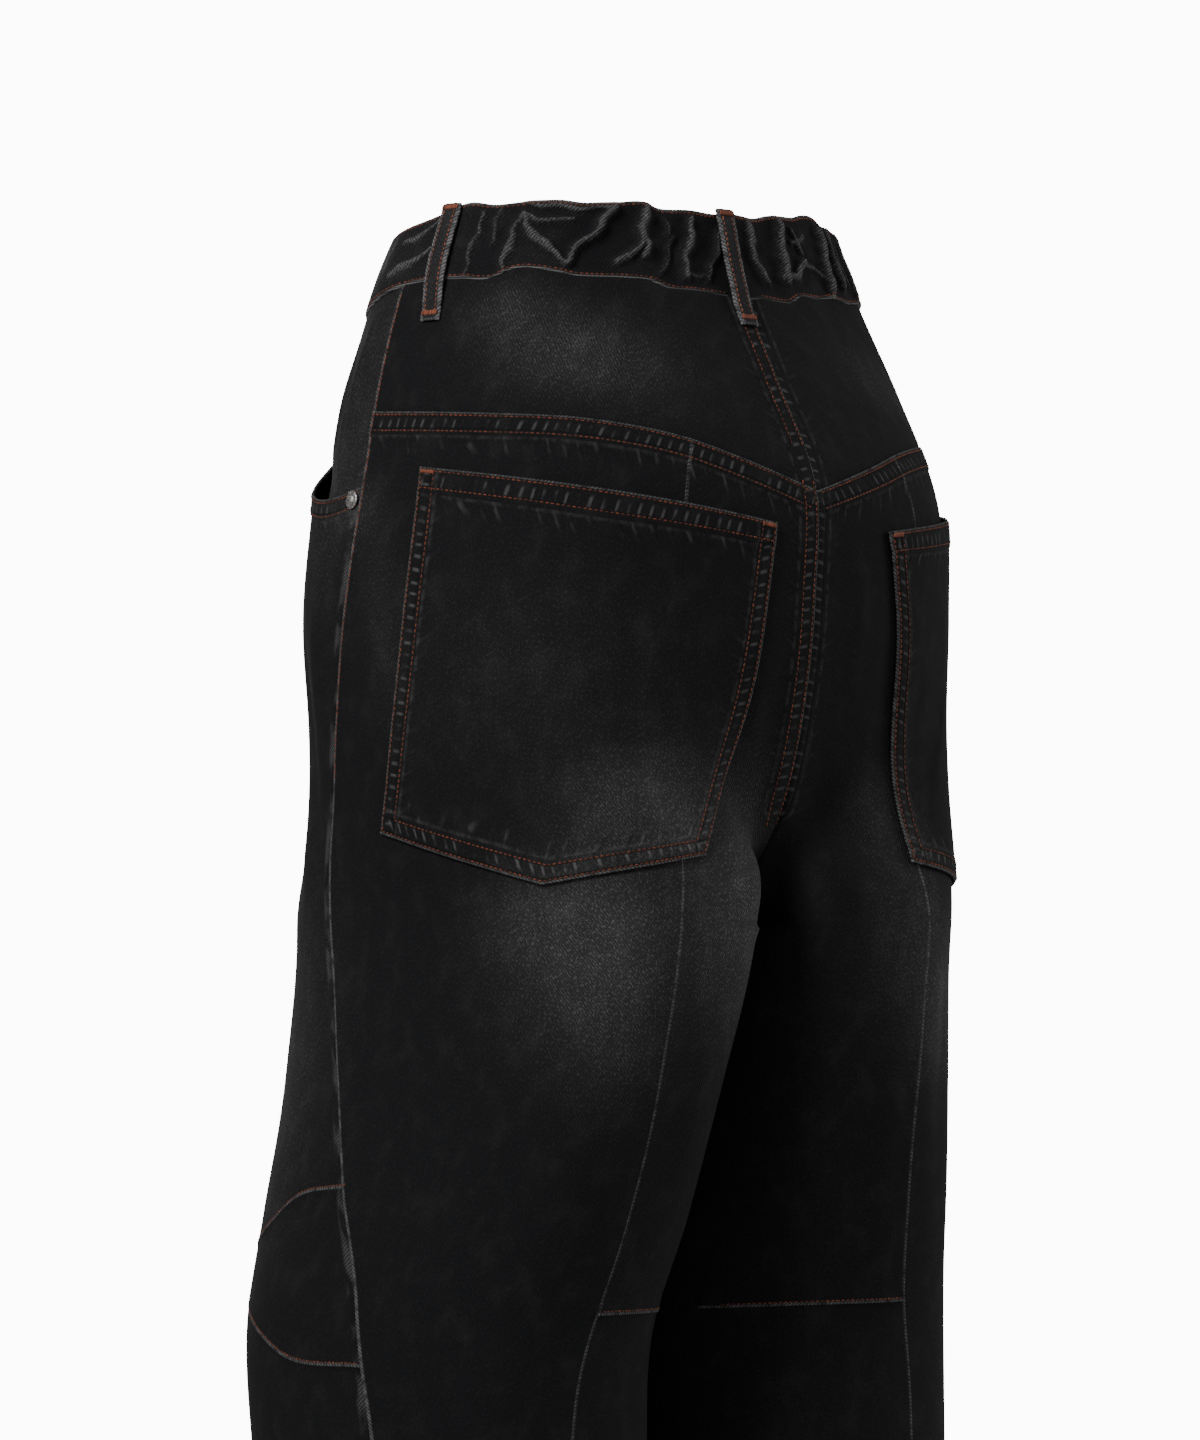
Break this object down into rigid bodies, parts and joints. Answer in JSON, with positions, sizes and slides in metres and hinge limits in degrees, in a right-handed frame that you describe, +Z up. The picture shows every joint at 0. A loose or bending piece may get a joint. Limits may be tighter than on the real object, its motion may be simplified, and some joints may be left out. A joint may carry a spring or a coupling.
{
  "type": "wide leg jeans",
  "caption": "Wide leg denim jeans in worn form, with pointed back yoke, gathered back waistband, patch back pockets and knee darts.",
  "frame": {"origin": "middle of the body at the height of the back waistband's top edge", "axes": "+Z up along the body, the front of the garment faces -Y, the wearer's left is +X"},
  "size_m": [0.381, 0.2715, 1.0162],
  "materials": {
    "denim": "washed black twill with grey slubs, matt",
    "band_denim": "washed black twill, gathered, matt",
    "loop_denim": "washed black twill with worn edges, matt",
    "pocket_denim": "washed black twill with worn edges, matt",
    "facing_denim": "washed black twill, matt",
    "rivet_nickel": "aged nickel, satin",
    "button_nickel": "aged nickel, satin"
  },
  "bodies": {
    "root": {"front_left": "denim", "front_right": "denim", "back_outer_left": "denim", "back_outer_right": "denim", "back_inner_left": "denim", "back_inner_right": "denim", "yoke_left": "denim", "yoke_right": "denim", "waistband_back": "band_denim", "waistband_front_left": "band_denim", "waistband_front_right": "band_denim", "belt_loop_back_left": "loop_denim", "belt_loop_back_right": "loop_denim", "belt_loop_centre": "loop_denim", "belt_loop_front_left": "loop_denim", "belt_loop_front_right": "loop_denim", "pocket_back_left": "pocket_denim", "pocket_back_right": "pocket_denim", "pocket_facing_left": "facing_denim", "pocket_facing_right": "facing_denim", "fly_shield": "facing_denim", "rivet_side_left": "rivet_nickel", "rivet_side_right": "rivet_nickel", "rivet_front_left": "rivet_nickel", "rivet_front_right": "rivet_nickel", "waist_button": "button_nickel"}
  },
  "joints": []
}
